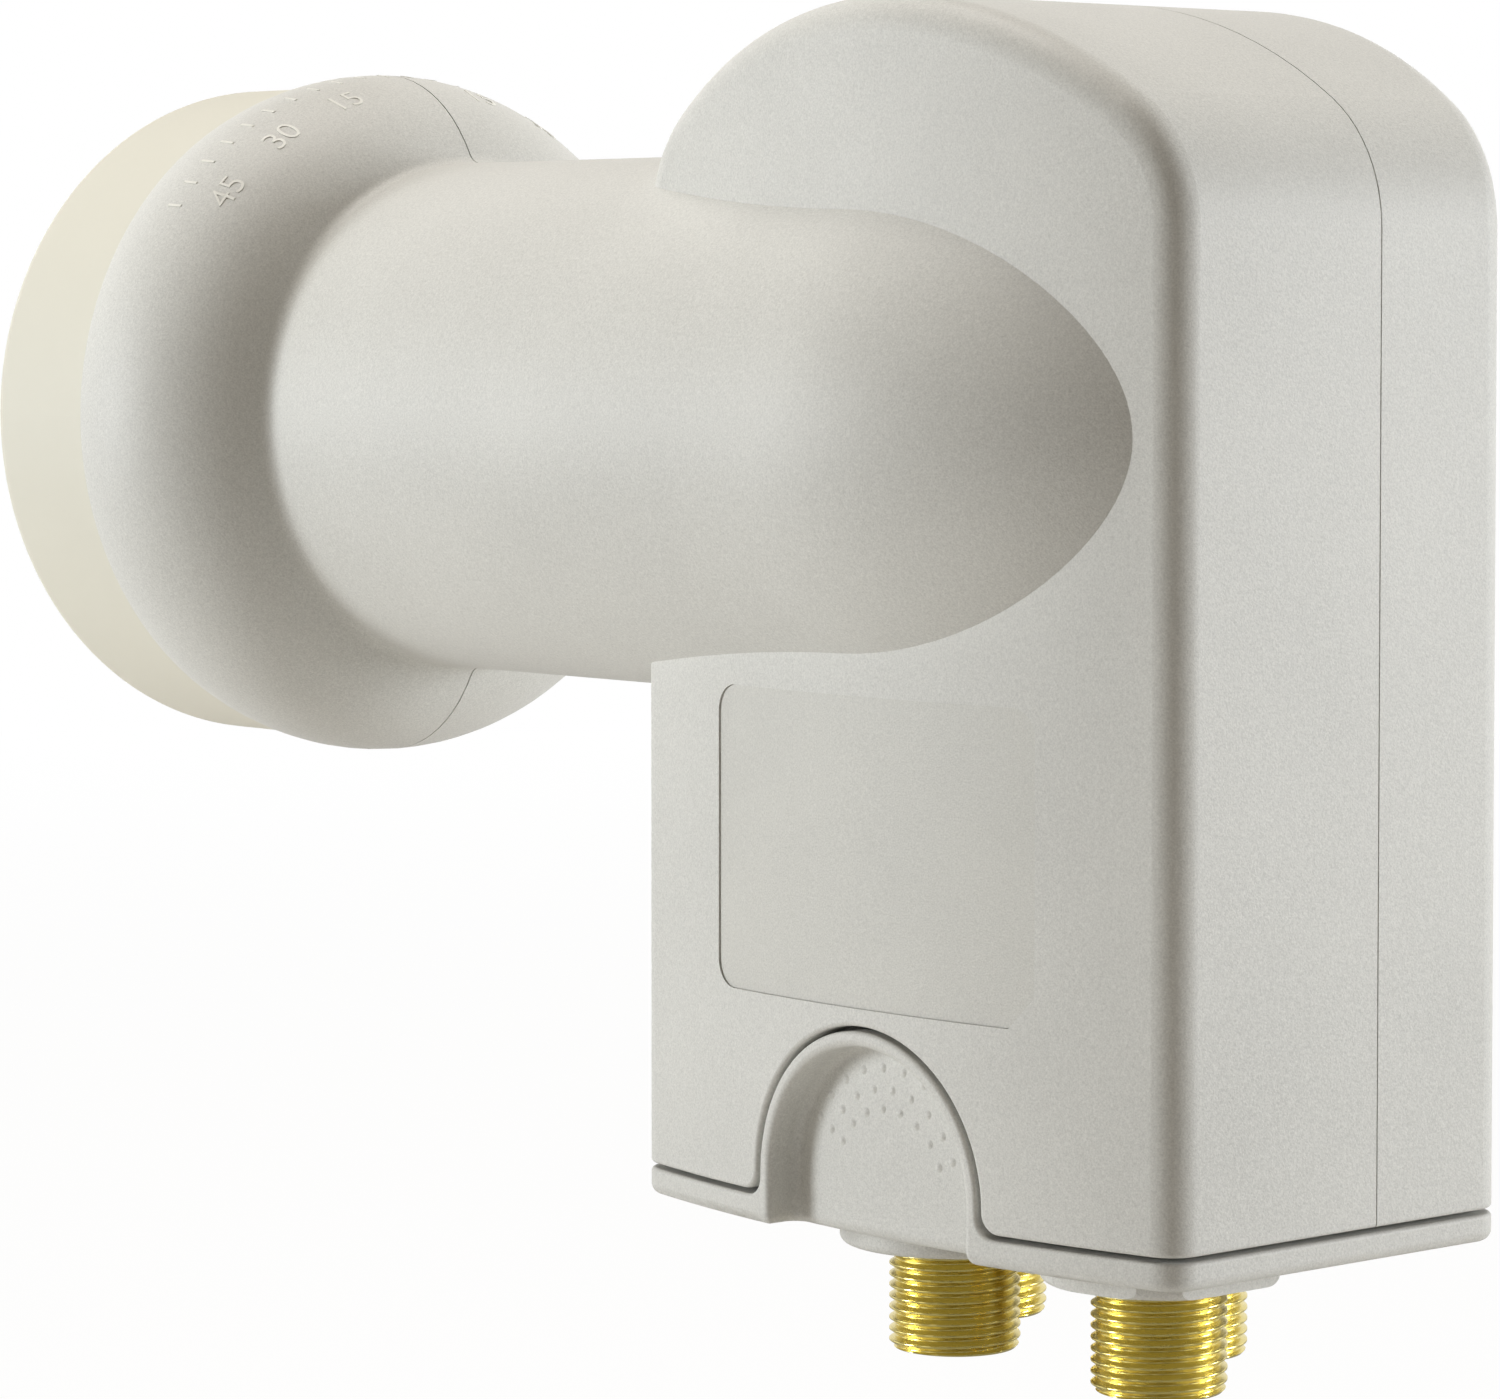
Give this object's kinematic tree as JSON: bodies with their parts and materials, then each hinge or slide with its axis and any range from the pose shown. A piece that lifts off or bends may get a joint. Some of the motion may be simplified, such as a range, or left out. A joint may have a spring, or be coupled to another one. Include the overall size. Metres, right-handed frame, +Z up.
{
  "type": "satellite lnb",
  "caption": "Satellite dish LNB: round clamp neck with capped feed horn, arched housing with a bulged label face, gold threaded coax ports and a slide-down weather shield.",
  "frame": {"origin": "on the neck axis, at the middle of the straight neck that the dish clamp grips", "axes": "+Z up, ports point along -Z; horn mouth faces -Y; the wide label face looks along +X"},
  "size_m": [0.0546, 0.1162, 0.0969],
  "materials": {
    "housing_plastic": "fine spark-eroded grain, matte light warm grey",
    "cap_plastic": "smooth satin cream polypropylene",
    "gold_plate": "bright gold plate on a rolled thread",
    "cast_metal": "as cast",
    "sheet_metal": "plain sheet",
    "seal_rubber": "matte black",
    "screw_steel": "zinc plated",
    "board_laminate": "solder mask",
    "chip_resin": "moulded resin",
    "insulator_white": "white insulator",
    "contact_brass": "plain"
  },
  "bodies": {
    "housing": {"bent_probe": "contact_brass", "board_screws": "screw_steel", "cast_chassis": "cast_metal", "chassis_lid": "sheet_metal", "circuit_board": "board_laminate", "connector_base": "housing_plastic", "converter_chips": "chip_resin", "cover_shell": "housing_plastic", "f_connector_1": "gold_plate", "f_connector_2": "gold_plate", "f_connector_3": "gold_plate", "f_connector_4": "gold_plate", "horn_cap": "cap_plastic", "horn_seal": "seal_rubber", "lid_gasket": "seal_rubber", "lid_screws": "screw_steel", "main_shell": "housing_plastic", "port_contact_1": "contact_brass", "port_contact_2": "contact_brass", "port_contact_3": "contact_brass", "port_contact_4": "contact_brass", "port_insulator_1": "insulator_white", "port_insulator_2": "insulator_white", "port_insulator_3": "insulator_white", "port_insulator_4": "insulator_white", "port_seal_1": "seal_rubber", "port_seal_2": "seal_rubber", "port_seal_3": "seal_rubber", "port_seal_4": "seal_rubber", "reference_crystal": "sheet_metal", "regulators": "chip_resin", "straight_probe": "contact_brass", "switch_chip": "chip_resin"},
    "shield": {"weather_shield": "housing_plastic"}
  },
  "joints": [
    {"name": "shield_slide", "type": "slide", "parent": "housing", "child": "shield", "axis": [0, 0, -1], "range_m": [0, 0.0276]}
  ]
}
